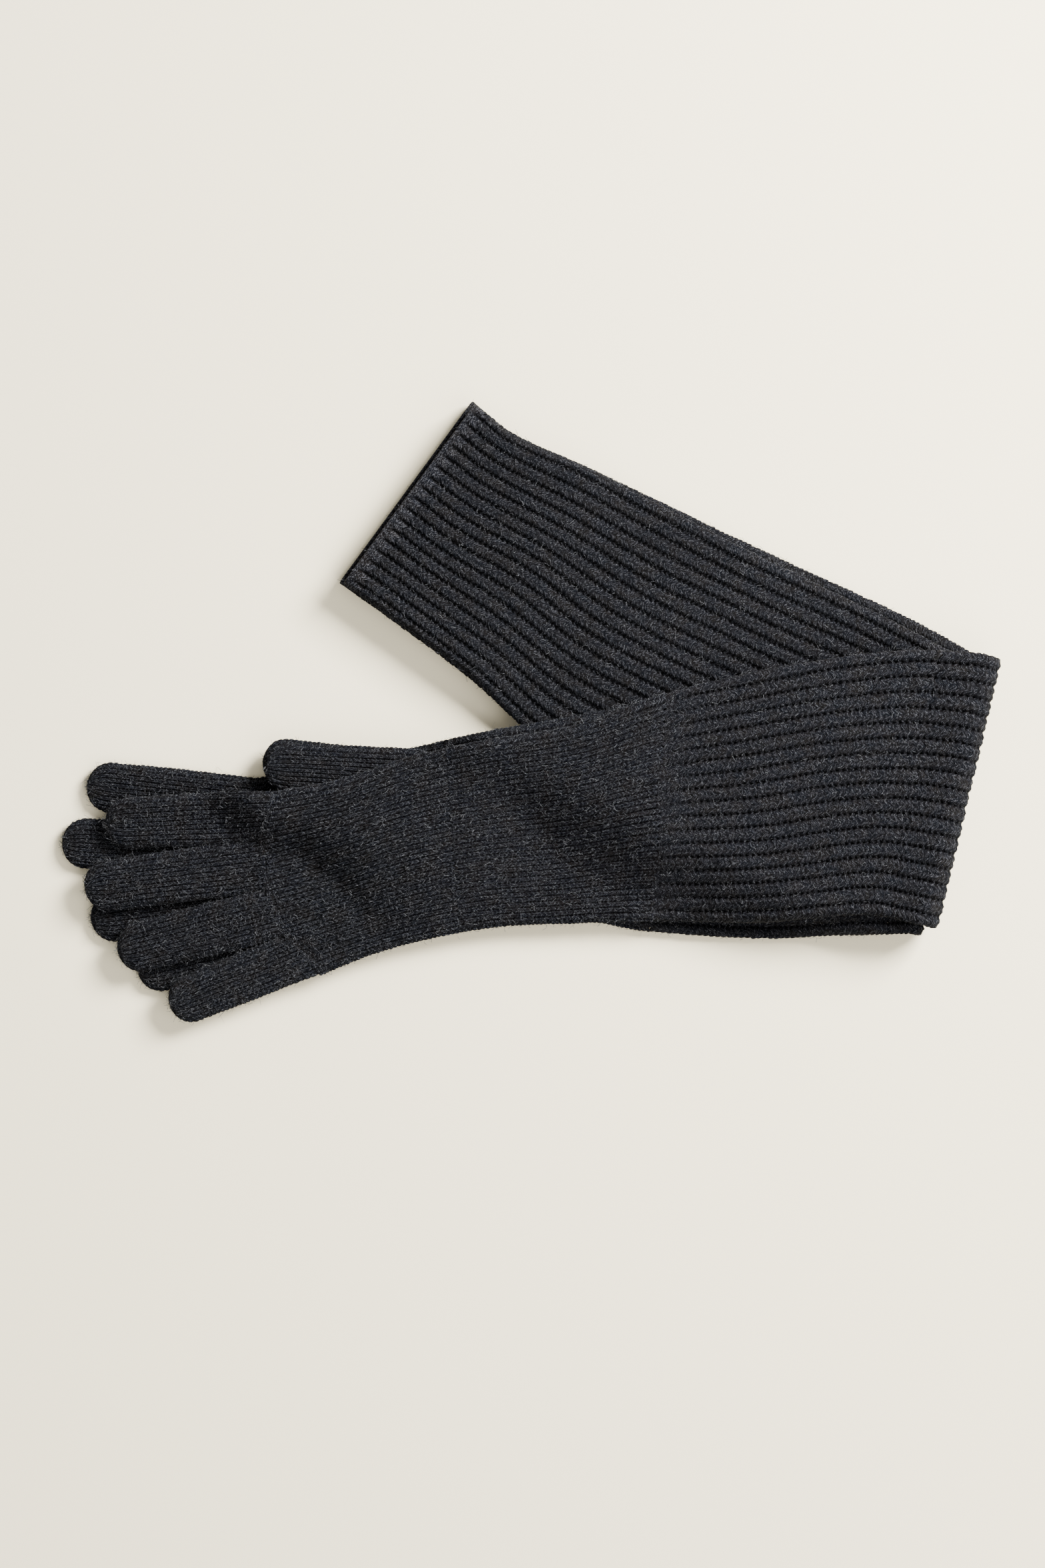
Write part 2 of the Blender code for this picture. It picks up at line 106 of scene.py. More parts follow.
def smooth_line(points):
    """Close points on a smooth curve through the given ones, and their distances along it."""
    ends = np.vstack([points[:1], points, points[-1:]])
    share = np.linspace(0, 1, STEPS_PER_SPAN, endpoint=False)[:, None]
    weights = (-0.5 * share + share ** 2 - 0.5 * share ** 3, 1 - 2.5 * share ** 2 + 1.5 * share ** 3,
               0.5 * share + 2 * share ** 2 - 1.5 * share ** 3, -0.5 * share ** 2 + 0.5 * share ** 3)
    spans = [sum(weight * ends[index + part] for part, weight in enumerate(weights))
             for index in range(len(points) - 1)]
    line = np.vstack(spans + [points[-1:]])
    steps = np.linalg.norm(np.diff(line[:, :2], axis=0), axis=1)
    return np.concatenate([[0], np.cumsum(steps)]), line


def on_line(curve, distance):
    """Middle, unit vector across and width at these distances along a curve."""
    along, line = curve
    middle = np.stack([np.interp(distance, along, line[:, part]) for part in (0, 1)], -1)
    half = np.stack([np.interp(distance, along, line[:, part]) for part in (2, 3)], -1)
    length = np.linalg.norm(half, axis=-1)
    return middle, half / length[..., None], 2 * length


def flat_tube(width, tall, edge, around, lift):
    """Offsets across and up of points round a flattened tube: its upper ply, then its lower ply back."""
    edge = np.minimum(edge, width * 0.48)
    quarter = math.pi / 2 * np.sqrt((edge ** 2 + (tall / 2) ** 2) / 2)
    flat = width - 2 * edge
    upper = around % 1 < 0.5
    place = (around % 0.5) * 2 * (flat + 2 * quarter)
    start = np.clip(place / quarter, 0, 1) * math.pi / 2
    end = np.clip((place - quarter - flat) / quarter, 0, 1) * math.pi / 2
    level = np.clip(place - quarter, 0, flat)
    out = np.sin(end) - np.cos(start)
    across = -width / 2 + edge * (1 - np.cos(start)) + level + edge * np.sin(end)
    up = np.where(end > 0, np.cos(end), np.sin(start))
    rise = np.sqrt(np.maximum(1 - out ** 2, 0))
    side = np.where(upper, 1, -1)
    return side * (across + out * lift), side * (up * tall / 2 + rise * lift)


def glove_shape(upper, end_steps):
    """The plan of one glove's folded sleeve end, and how it bends round the fold."""
    core = FOLD_EDGE - direction(FOLD_TURN - 90) * FOLD_RADIUS
    if not upper:
        core = core + direction(FOLD_TURN) * RIGHT_SHIFT
    return {"upper": upper, "core": core, "end": smooth_line(trace(core, end_steps)),
            "stack": 0 if upper else 1, "bend": (1.5 if upper else 0.5) * LAYER}


def end_height(glove, from_mouth):
    """The middle height and the thickness of the sleeve's end at this distance from its mouth."""
    tall = MOUTH_TUBE + (TUBE - MOUTH_TUBE) * smooth((from_mouth - MOUTH_DEPTH) / MOUTH_TAPER)
    return glove["stack"] * (tall + GAP) + tall / 2, tall


def sleeve_end_surface(glove, along, around, lift, inner=0.0):
    """Points on the sleeve's end: along is the distance from the fold's core to the mouth."""
    length = glove["end"][0][-1]
    middle, across, width = on_line(glove["end"], along)
    height, tall = end_height(glove, length - along)
    wide, up = flat_tube(width - 2 * inner, tall - 2 * STITCH_INSET - 2 * inner, SLEEVE_EDGE, around, lift)
    plan = middle + across * wide[..., None]
    return np.concatenate([plan, (height - up)[..., None]], -1)


# Across one rib: where the mesh columns are, how far each is drawn on along the stitch's legs (in courses),
# and how high it stands; then how the purl column and the knit column rise and fall within one course.
STITCH_UNEVEN = 0.00009
SLOW_UNEVEN = 0.00016
WALE_WANDER = 0.14
SEAM_MERGE = 1e-6
SLEEVE_ROUND = 2 * FOLD_WIDTH / 1.05
# Each piece's yarn starts at its own place in the melange.
YARN_SHIFT = np.array([17.3, 29.1])
RIB_COLUMNS = np.array([0.0, 0.08, 0.17, 0.32, 0.50, 0.68, 0.83, 0.92])
RIB_LEGS = np.array([0.40, 0.66, 0.70, 0.36, 0.0, 0.36, 0.70, 0.66])
RIB_HEIGHTS = np.array([-0.85, -0.52, 0.0, 0.36, 0.02, 0.36, 0.0, -0.52]) * 0.001
RIB_COURSE_HEIGHTS = np.array([[-1.00, -0.85, -0.55, -0.42, -0.25, -0.42, -0.55, -0.85],
                               [0.45, 0.28, 0.08, 0.06, 0.04, 0.06, 0.08, 0.28],
                               [0.10, 0.12, 0.10, 0.04, 0.0, 0.04, 0.10, 0.12]]) * 0.001


def knit_grid(courses, wales, columns, legs, heights, course_heights, seed):
    """For a tube of knitting: each row's course, each column's place round the tube, how far each is drawn on
    in courses, and how high each mesh point stands, a little uneven from stitch to stitch."""
    rows_each, columns_each = course_heights.shape
    row = np.arange(courses * rows_each + 1) / rows_each
    around = (np.arange(wales)[:, None] + columns[None, :]).ravel() / wales
    around = np.append(around, 1.0)
    random = np.random.default_rng(seed)
    uneven = random.normal(0, STITCH_UNEVEN, (courses + 1, wales))
    uneven = np.repeat(np.repeat(uneven, rows_each, 0), columns_each, 1)[:len(row)]
    lift = np.tile(heights, wales)[None, :] + np.tile(course_heights, (courses + 1, wales))[:len(row)]
    lift = lift + uneven
    lift = np.concatenate([lift, lift[:, :1]], 1)
    drawn = np.append(np.tile(legs, wales), legs[0])
    return {"row": row, "around": around, "drawn": drawn, "lift": lift, "seed": seed, "wales": wales}


def rib_height(around):
    """How high the rib stands at these places round the sleeve."""
    return np.interp(around * RIBS % 1, np.append(RIB_COLUMNS, 1), np.append(RIB_HEIGHTS, RIB_HEIGHTS[0]))


def sway(seed, row, around):
    """A slow unevenness of the knitting, from -1 to 1, over the courses and round the tube."""
    random = np.random.default_rng(seed + 1000)
    total = np.zeros(np.broadcast(row, around).shape)
    for wave in range(1, 7):
        turns, steps, start = random.integers(0, 4), random.uniform(0.02, 0.16), random.uniform(0, 6.28, 2)
        total = total + np.sin(2 * math.pi * turns * around + start[0]) * np.sin(steps * row + start[1])
    return total / 4


def sheet_of(name, points, lift, pattern, material):
    """A mesh grid laid over rows and columns of points, its seam and ends closed, with its yarn's UV map and
    a value from 0 to 1 for each point, mostly how high it stands in its stitch, that paints shade where it is
    low."""
    count_rows, count_columns = points.shape[:2]
    bm = bmesh.new()
    bmesh.ops.create_grid(bm, x_segments=count_columns - 1, y_segments=count_rows - 1, size=1)
    mesh = bpy.data.meshes.new(name)
    bm.to_mesh(mesh)
    bm.free()
    flat = np.empty(len(mesh.vertices) * 3, np.float32)
    mesh.vertices.foreach_get("co", flat)
    flat = flat.reshape(-1, 3)
    column = np.rint((flat[:, 0] + 1) / 2 * (count_columns - 1)).astype(int)
    row = np.rint((flat[:, 1] + 1) / 2 * (count_rows - 1)).astype(int)
    mesh.vertices.foreach_set("co", points[row, column].astype(np.float32).ravel())
    # The relief attribute carries painted shade: the material darkens the colour where it is low.
    stands = mesh.attributes.new("relief", "FLOAT", "POINT")
    stands.data.foreach_set("value", lift[row, column].astype(np.float32))
    corner = np.empty(len(mesh.loops), np.int32)
    mesh.loops.foreach_get("vertex_index", corner)
    layer = mesh.uv_layers.new(name="yarn")
    layer.data.foreach_set("uv", pattern[row[corner], column[corner]].astype(np.float32).ravel())
    bm = bmesh.new()
    bm.from_mesh(mesh)
    bmesh.ops.remove_doubles(bm, verts=bm.verts[:], dist=SEAM_MERGE)
    bmesh.ops.dissolve_degenerate(bm, edges=bm.edges[:], dist=SEAM_MERGE / 10)
    bm.to_mesh(mesh)
    bm.free()
    mesh.shade_smooth()
    mesh.materials.append(material)
    obj = bpy.data.objects.new(name, mesh)
    bpy.context.scene.collection.objects.link(obj)
    return obj


def knit(name, grid, surface, pitch, round_width, material, fade_start=0, fade_end=0, place_rows=None):
    """Lays a knit grid on a surface. place_rows turns a row's course into a distance along the surface, and
    the legs of the stitches fade out over the courses at an end that is closed or joined."""
    row, around = grid["row"][:, None], grid["around"][None, :]
    ends = np.minimum(1 if not fade_start else smooth((row - grid["row"][0]) / fade_start),
                      1 if not fade_end else smooth((grid["row"][-1] - row) / fade_end))
    drawn = row + grid["drawn"][None, :] * ends
    along = place_rows(drawn) if place_rows else drawn * pitch
    slow = sway(grid["seed"], row, around)
    wander = sway(grid["seed"] + 7, row * 1.7, around) * WALE_WANDER / grid["wales"]
    turned = around + wander
    lift = grid["lift"] + slow * SLOW_UNEVEN
    points = surface(along, turned, lift)
    pattern = np.stack(np.broadcast_arrays(around * round_width * 1000, row * pitch * 1000), -1)
    pattern = pattern + YARN_SHIFT * grid["seed"]
    low, high = np.min(grid["lift"]), np.max(grid["lift"])
    return sheet_of(name, points, (lift - low) / (high - low), pattern, material)


def linear(hex_colour):
    """An sRGB hex colour as linear red, green, blue and alpha."""
    values = [int(hex_colour[index:index + 2], 16) / 255 for index in (1, 3, 5)]
    return [value / 12.92 if value <= 0.04045 else ((value + 0.055) / 1.055) ** 2.4 for value in values] + [1]


def add_node(tree, kind, values=None, links=None, **settings):
    """Adds one node with its settings, socket values and incoming links."""
    node = tree.nodes.new(kind)
    for key, value in settings.items():
        setattr(node, key, value)
    for socket, value in (values or {}).items():
        node.inputs[socket].default_value = value
    for socket, source in (links or {}).items():
        tree.links.new(source, node.inputs[socket])
    return node


# Charcoal melange: dark fibres of two casts carded together with a few undyed light ones, so the yarn reads
# as near-black with short pale strokes along it and slow drifts of a bluer and a browner grey.
def melange_wool(name, deep, body, pale, strand, pale_share):
    """Carded wool yarn. strand is the (length, width) in millimetres of the fibre tufts that show."""
    material = bpy.data.materials.new(name)
    material.use_nodes = True
    tree = material.node_tree
    shader = tree.nodes["Principled BSDF"]
    yarn = add_node(tree, "ShaderNodeTexCoord").outputs["UV"]
    length, width = strand

    def fibres(turn, stretch, detail):
        """Noise drawn out along the yarn, turned a little from it."""
        scale = (1 / (length * stretch), 1 / width, 1)
        laid = add_node(tree, "ShaderNodeMapping", {"Rotation": (0, 0, turn), "Scale": scale},
                        {"Vector": yarn})
        return add_node(tree, "ShaderNodeTexNoise", {"Scale": 1.0, "Detail": detail, "Roughness": 0.6},
                        {"Vector": laid.outputs["Vector"]}, noise_dimensions="2D").outputs["Fac"]

    along, crossed, turned = fibres(0.0, 1.0, 3.0), fibres(0.62, 0.8, 2.0), fibres(-0.55, 0.9, 2.0)
    drift = add_node(tree, "ShaderNodeTexNoise", {"Scale": 0.13, "Detail": 3.0, "Roughness": 0.62},
                     {"Vector": yarn}, noise_dimensions="2D").outputs["Fac"]
    cast = add_node(tree, "ShaderNodeValToRGB", links={"Fac": drift})
    ramp = cast.color_ramp
    ramp.elements[0].position, ramp.elements[0].color = 0.36, linear(body[0])
    ramp.elements[1].position, ramp.elements[1].color = 0.66, linear(body[2])
    ramp.elements.new(0.5).color = linear(body[1])
    shade = add_node(tree, "ShaderNodeMapRange", {"From Min": 0.38, "From Max": 0.62}, {"Value": along})
    base = add_node(tree, "ShaderNodeMix", {6: linear(deep)}, {0: shade.outputs[0], 7: cast.outputs["Color"]},
                    data_type="RGBA")
    strokes = add_node(tree, "ShaderNodeMath", links={0: crossed, 1: turned}, operation="MAXIMUM")
    light = add_node(tree, "ShaderNodeMapRange",
                     {"From Min": 0.60 - pale_share, "From Max": 0.74 - pale_share},
                     {"Value": strokes.outputs[0]})
    fleck = add_node(tree, "ShaderNodeMix", {7: linear(pale)}, {0: light.outputs[0], 6: base.outputs[2]},
                     data_type="RGBA")
    # Painted shade: each point's height in its stitch darkens the colour down to 0.08 in the grooves between
    # stitches and raises it by a tenth on the stitches' tops.
    relief = add_node(tree, "ShaderNodeAttribute", attribute_name="relief")
    painted_gap_shade = add_node(tree, "ShaderNodeMapRange",
                    {"From Min": 0.15, "From Max": 0.9, "To Min": 0.08, "To Max": 1.1},
                    {"Value": relief.outputs["Fac"]})
    colour = add_node(tree, "ShaderNodeMix", {0: 1.0, 6: (0, 0, 0, 1)},
                      {6: fleck.outputs[2], 7: painted_gap_shade.outputs[0]}, data_type="RGBA", blend_type="MULTIPLY")
    tree.links.new(colour.outputs[2], shader.inputs["Base Color"])
    tufts = add_node(tree, "ShaderNodeMath", links={0: along, 1: strokes.outputs[0]}, operation="ADD")
    bump = add_node(tree, "ShaderNodeBump", {"Strength": 0.55, "Distance": 0.00035},
                    {"Height": tufts.outputs[0]})
    tree.links.new(bump.outputs["Normal"], shader.inputs["Normal"])
    shader.inputs["Roughness"].default_value = 0.92
    shader.inputs["Specular IOR Level"].default_value = 0.04
    shader.inputs["Sheen Weight"].default_value = 0.03
    shader.inputs["Sheen Roughness"].default_value = 0.45
    shader.inputs["Sheen Tint"].default_value = linear("#9ea2aa")
    return material


def loose_fibres(name):
    """Single wool fibres that stand off the yarn: fine, matt and paler than it, since light comes through."""
    material = bpy.data.materials.new(name)
    material.use_nodes = True
    tree = material.node_tree
    shader = tree.nodes["Principled BSDF"]
    place = add_node(tree, "ShaderNodeTexCoord").outputs["UV"]
    tone = add_node(tree, "ShaderNodeTexNoise", {"Scale": 3.0, "Detail": 0.0}, {"Vector": place},
                    noise_dimensions="2D")
    ramp = add_node(tree, "ShaderNodeValToRGB", links={"Fac": tone.outputs["Fac"]})
    ramp.color_ramp.elements[0].position, ramp.color_ramp.elements[0].color = 0.42, linear("#111215")
    ramp.color_ramp.elements[1].position, ramp.color_ramp.elements[1].color = 0.66, linear("#5a5c60")
    tree.links.new(ramp.outputs["Color"], shader.inputs["Base Color"])
    shader.inputs["Roughness"].default_value = 0.8
    shader.inputs["Specular IOR Level"].default_value = 0.2
    return material


RIB_CASTS = ("#0b0e13", "#0f1013", "#121110")
PLAIN_CASTS = ("#0e1118", "#121317", "#161413")
RIB_WOOL = melange_wool("charcoal_lambswool_rib", "#050507", RIB_CASTS, "#424348", (1.3, 0.32), 0.0)
PLAIN_WOOL = melange_wool("charcoal_lambswool_plain_knit", "#070709", PLAIN_CASTS, "#46484d", (1.2, 0.32),
                          0.01)
EDGE_WOOL = melange_wool("charcoal_lambswool_bound_edge", "#060608", PLAIN_CASTS, "#4a4b50", (1.4, 0.32),
                         0.02)
FUZZ_WOOL = loose_fibres("loose_lambswool_fibres")
FIBRE_LENGTHS = (0.0008, 0.0030)
FIBRE_WIDTH = 0.00006


def fuzz(name, piece, per_point, seed):
    """Loose fibres over a piece: ribbons of two faces, rooted at random points of its mesh."""
    mesh = piece.data
    points = np.empty(len(mesh.vertices) * 3, np.float32)
    normals = np.empty(len(mesh.vertices) * 3, np.float32)
    mesh.vertices.foreach_get("co", points)
    mesh.vertices.foreach_get("normal", normals)
    points, normals = points.reshape(-1, 3), normals.reshape(-1, 3)
    random = np.random.default_rng(seed)
    count = int(len(points) * per_point)
    chosen = random.integers(0, len(points), count)
    root, out = points[chosen], normals[chosen]
    length = random.uniform(*FIBRE_LENGTHS, (count, 1)) * random.uniform(0.5, 1.2, (count, 1))
    lean = random.normal(0, 1, (count, 3))
    lean -= out * np.sum(lean * out, 1, keepdims=True)
    lean /= np.linalg.norm(lean, axis=1, keepdims=True)
    stand = random.uniform(0.05, 0.75, (count, 1)) ** 1.5
    curl = np.cross(out, lean) * random.normal(0, 0.45, (count, 1))
    middle = root + (lean * (1 - 0.4 * stand) + out * (stand + 0.18)) * length * 0.5
    tip = root + (lean * (1 - 0.4 * stand) + out * (stand * 0.8 + 0.08) + curl) * length
    wide = np.cross(tip - root, random.normal(0, 1, (count, 3)))
    wide *= FIBRE_WIDTH / np.maximum(np.linalg.norm(wide, axis=1, keepdims=True), 1e-9)
    line = np.stack([root, middle, tip])
    line[..., 2] = np.maximum(line[..., 2], FIBRE_WIDTH)
    sides = np.stack([line - wide, line + wide], 2).reshape(3, count * 2, 3)
    bm = bmesh.new()
    bmesh.ops.create_grid(bm, x_segments=count * 2 - 1, y_segments=2, size=1)
    bm.verts.ensure_lookup_table()
    between = [face for face in bm.faces
               if round((face.calc_center_median().x + 1) / 2 * (count * 2 - 1) - 0.5) % 2]
    bmesh.ops.delete(bm, geom=between, context="FACES")
    mesh = bpy.data.meshes.new(name)
    for vert in bm.verts:
        column = round((vert.co.x + 1) / 2 * (count * 2 - 1))
        row = round(vert.co.y + 1)
        vert.co = sides[row, column]
    bm.to_mesh(mesh)
    bm.free()
    corner = np.empty(len(mesh.loops), np.int32)
    mesh.loops.foreach_get("vertex_index", corner)
    spots = np.empty(len(mesh.vertices) * 3, np.float32)
    mesh.vertices.foreach_get("co", spots)
    layer = mesh.uv_layers.new(name="yarn")
    layer.data.foreach_set("uv", (spots.reshape(-1, 3)[corner][:, :2] * 1000).astype(np.float32).ravel())
    mesh.materials.append(FUZZ_WOOL)
    obj = bpy.data.objects.new(name, mesh)
    bpy.context.scene.collection.objects.link(obj)
    return obj


FUZZ_SHARE = 0.10
GLOVES = {"left_glove": glove_shape(True, LEFT_END), "right_glove": glove_shape(False, RIGHT_END)}
for side, glove in GLOVES.items():
    length = glove["end"][0][-1]
    stop = length - BOUND_EDGE
    courses = round((stop - FOLD_REACH) / END_COURSE)
    pitch = (stop - FOLD_REACH) / courses
    grid = knit_grid(courses, RIBS, RIB_COLUMNS, RIB_LEGS, RIB_HEIGHTS, RIB_COURSE_HEIGHTS,
                     11 + glove["stack"])
    piece = knit(side + "_sleeve_end_knit", grid,
                 lambda along, around, lift: sleeve_end_surface(glove, along, around, lift),
                 pitch, SLEEVE_ROUND, RIB_WOOL, place_rows=lambda drawn: stop - drawn * pitch)
    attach(piece, "sleeve_ends")
    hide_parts(side + "_sleeve_end")
    hairs = fuzz(side + "_sleeve_end_fuzz", piece, FUZZ_SHARE, 41)
    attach(hairs, "sleeve_ends")

# ---------------------------------------------------------------------------------------------------
# Bound edges: the last courses at each sleeve's mouth are bound off in a firm chain. The cloth turns in
# there, and inside the mouth the wrong side of the rib shows, down to where the two plies close up.
# ---------------------------------------------------------------------------------------------------
RIM_TURN = 5
LINING_DEPTH = 0.052
LINING_STEP = 0.0026
CHAIN_HEIGHT = 0.00028
CHAIN_WIDTH = 0.0022
EDGE_FLATTENS = 0.62
LINING_RIBS = -0.35
LINING_SINK = 0.0004
# Painted shade on the edge, as a share of the yarn's colour: at mid height, over what height it changes, at
# its lowest, inside the mouth.
EDGE_PAINTED_SHADE_MID = 0.68
EDGE_PAINTED_SHADE_DEPTH = 0.0012
EDGE_PAINTED_SHADE_LOWEST = 0.15
LINING_SHADE = 0.4
for side, glove in GLOVES.items():
    length = glove["end"][0][-1]
    outer = np.linspace(length - BOUND_EDGE, length - PLY / 2, 9)
    turn = np.linspace(0, math.pi, RIM_TURN + 2)[1:-1]
    rim = length - PLY / 2 + PLY / 2 * np.sin(turn)
    inside = np.arange(length - PLY / 2, length - LINING_DEPTH, -LINING_STEP)
    along = np.concatenate([outer, rim, inside])
    inner = np.concatenate([outer * 0, PLY / 2 * (1 - np.cos(turn)), inside * 0 + PLY])
    grid = knit_grid(1, RIBS, RIB_COLUMNS, RIB_LEGS, RIB_HEIGHTS, RIB_COURSE_HEIGHTS, 21 + glove["stack"])
    around = np.tile(grid["around"], (len(along), 1))
    near_mouth = smooth((along - outer[0]) / BOUND_EDGE)[:, None]
    rib = rib_height(around)
    chain = CHAIN_HEIGHT * np.cos(around * RIBS * 4 * math.pi) * (along[:, None] > length - CHAIN_WIDTH)
    lift = rib * (1 - EDGE_FLATTENS * near_mouth) + chain
    lift[len(outer):] = lift[len(outer) - 1] * 0.5
    lift[len(outer) + RIM_TURN:] = LINING_RIBS * rib[0] - LINING_SINK
    drawn = np.append(np.tile(RIB_LEGS, RIBS), RIB_LEGS[0])[None, :] * END_COURSE
    fade = (1 - smooth((along - outer[0]) / (BOUND_EDGE * 0.8)))[:, None]
    fade[len(outer):] = 0
    points = sleeve_end_surface(glove, along[:, None] - drawn * fade, around, lift, inner[:, None])
    closing = points[-1].copy()
    closing[:, 2] = end_height(glove, LINING_DEPTH)[0]
    points = np.concatenate([points, closing[None]])
    lift = np.concatenate([lift, lift[-1:]])
    one_column = points[:, 20]
    walked = np.concatenate([[0], np.cumsum(np.linalg.norm(np.diff(one_column, axis=0), axis=1))])[:, None]
    pattern = np.stack(np.broadcast_arrays(around[:1] * 2 * FOLD_WIDTH * 1000, walked * 1000), -1)
    stands = np.clip(EDGE_PAINTED_SHADE_MID + lift / EDGE_PAINTED_SHADE_DEPTH, EDGE_PAINTED_SHADE_LOWEST, 1)
    # Painted light: the rounded rim, which turns away from the light and lies in shade, is set to the
    # brightest value.
    stands[len(outer) - 1:len(outer) + RIM_TURN] = 1
    # Painted shade inside the mouth: the lining's colour is darkened by LINING_SHADE.
    stands[len(outer) + RIM_TURN:] *= LINING_SHADE
    piece = sheet_of(side + "_bound_edge", points, stands, pattern, EDGE_WOOL)
    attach(piece, "sleeve_ends")
    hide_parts(side + "_sleeve_welt")
    hairs = fuzz(side + "_bound_edge_fuzz", piece, FUZZ_SHARE, 51)
    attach(hairs, "sleeve_ends")

# ---------------------------------------------------------------------------------------------------
# Sleeves: the same rib, from the fold to the wrist. Each sleeve bends double round the fold, where its
# ribs show as a row of scallops, and lies on the folded ends until it comes down over their edge. Inside the
# right glove's tight bend, the inner ply is made as two halves, below and above the bend's middle.
# ---------------------------------------------------------------------------------------------------
LEFT_SLEEVE = [(0.0288, 175.5, 0.109, 81.8), (0.0441, 186.7, 0.105, 86.2), (0.0443, 186.5, 0.0936, 86.9)]
RIGHT_SLEEVE = [(0.0334, 182.2, 0.1108, 83.3), (0.0392, 185.4, 0.1055, 87.3), (0.0445, 182.6, 0.0956, 87.6)]
LEFT_HAND = [(0.0362, 191.0, 0.0813, 88.6), (0.0357, 186.7, 0.0765, 93.7), (0.0311, 191.4, 0.0752, 94.6),
             (0.0247, 197.7, 0.0736, 97.0), (0.0236, 195.0, 0.0778, 105.0)]
RIGHT_HAND = [(0.0350, 181.2, 0.0830, 88.6), (0.0358, 187.2, 0.0782, 93.7), (0.0305, 189.9, 0.0757, 93.8),
              (0.0255, 191.9, 0.0753, 95.3), (0.0313, 192.5, 0.0778, 102.5)]
DRAPE_MARGIN = 0.006
DRAPE_LENGTH = 0.024
DRAPE_EASE = 0.010
DRAPE_STEP = 0.0035
DRAPE_SECTIONS = (2, 3)
THUMB_MARGIN = 0.008
THUMB_DROP = 0.020
THUMB_EASE = 0.032
EASE_LENGTH = 0.035
# The power by which the two rises under the left hand run together.
RISES_MEET = 4
THUMB_WIDTH = 0.0208
THUMB_TUBE = 0.0038
# Each thumb's pivot from the wrist's bend (across, ahead), heading and reach.
LEFT_THUMB = (0.0316, 0.0230, 177.0, 0.0500)
RIGHT_THUMB = (0.0250, 0.0217, 172.6, 0.0548)
# The ply inside the bend keeps its ribs only where it has this room for them, and never less than this share.
RIB_ROOM = 0.002
LEAST_INSIDE = 0.12
# A share of the bend's radius, either way from the fold's middle height.
FOLD_BLEND_SHARE = 0.7
# Over its last courses before the wrist the rib's relief runs out to this share.
RUN_OUT_COURSES = 9
RUN_OUT_UNEVEN = 1.5
RUN_OUT_DEPTH = 0.42


def thumb_line(glove, steps, thumb):
    """The thumb's pivot and the middle of its round tip."""
    wrist = trace(glove["core"], steps)[len(LEFT_SLEEVE) + 2][:2]
    heading = steps[-1][1]
    across, ahead, turn, reach = thumb
    pivot = wrist + direction(heading - 90) * across + direction(heading) * ahead
    return pivot, pivot + direction(turn) * reach


for side, steps, thumb in (("left_glove", LEFT_SLEEVE + LEFT_HAND, LEFT_THUMB),
                           ("right_glove", RIGHT_SLEEVE + RIGHT_HAND, RIGHT_THUMB)):
    glove = GLOVES[side]
    glove["steps"] = steps
    glove["fore"] = smooth_line(trace(glove["core"], steps))
    glove["thumb"] = thumb_line(glove, steps, thumb)
left_end_sections = trace(GLOVES["left_glove"]["core"], LEFT_END)
END_EDGE = [left_end_sections[index][:2] - left_end_sections[index][2:] for index in DRAPE_SECTIONS]


def fore_height(glove, plan):
    """The height of the middle of the sleeve or hand at these plan points: up on the folded ends, then down
    past their edge; and the left hand is raised again over the two thumbs."""
    along = (END_EDGE[1] - END_EDGE[0]) / np.linalg.norm(END_EDGE[1] - END_EDGE[0])
    away = (plan - END_EDGE[0]) @ np.array([-along[1], along[0]])
    if not glove["upper"]:
        height = 2 * LAYER * (1 - smooth((away - DRAPE_MARGIN) / DRAPE_LENGTH))
    else:
        on_ends = 2 * LAYER * (1 - smooth((away - DRAPE_MARGIN - DRAPE_STEP) / (DRAPE_LENGTH + DRAPE_EASE)))
        before = (glove["fore"][1][-1][:2] - plan) @ direction(glove["steps"][-1][1])
        drop = THUMB_DROP + THUMB_EASE * smooth(before / EASE_LENGTH)
        raised = 0
        for other in GLOVES.values():
            pivot, tip = other["thumb"]
            share = np.clip(((plan - pivot) @ (tip - pivot)) / np.sum((tip - pivot) ** 2), 0, 1)
            beside = np.linalg.norm(plan - pivot - share[..., None] * (tip - pivot), axis=-1)
            beside = beside - THUMB_WIDTH / 2
            raised = np.maximum(raised, 1 - smooth((beside - THUMB_MARGIN) / drop))
        on_thumbs = 2 * (THUMB_TUBE + GAP) * raised
        height = LAYER + (on_ends ** RISES_MEET + on_thumbs ** RISES_MEET) ** (1 / RISES_MEET)
    return height + TUBE / 2


def fore_surface(glove, along, around, lift, edge=SLEEVE_EDGE):
    """Points on the glove from the fold towards the fingers: along is the distance from the fold's core."""
    middle, across, width = on_line(glove["fore"], along)
    wide, up = flat_tube(width, TUBE - 2 * STITCH_INSET, edge, around, lift)
    plan = middle + across * wide[..., None]
    return np.concatenate([plan, (fore_height(glove, plan) + up)[..., None]], -1)


def fold_surface(glove, angle, around, lift):
    """Points on the sleeve where it bends double round the fold: angle 0 is the folded end's side."""
    section = glove["fore"][1][0]
    across = section[2:] / np.linalg.norm(section[2:])
    wide, up = flat_tube(FOLD_WIDTH, TUBE - 2 * STITCH_INSET, SLEEVE_EDGE, around, lift)
    radius = glove["bend"] + up
    out = direction(FOLD_TURN - 90) * (radius * np.sin(angle))[..., None]
    plan = section[:2] + across * wide[..., None] + out
    return np.concatenate([plan, (FOLD_RADIUS - radius * np.cos(angle))[..., None]], -1)


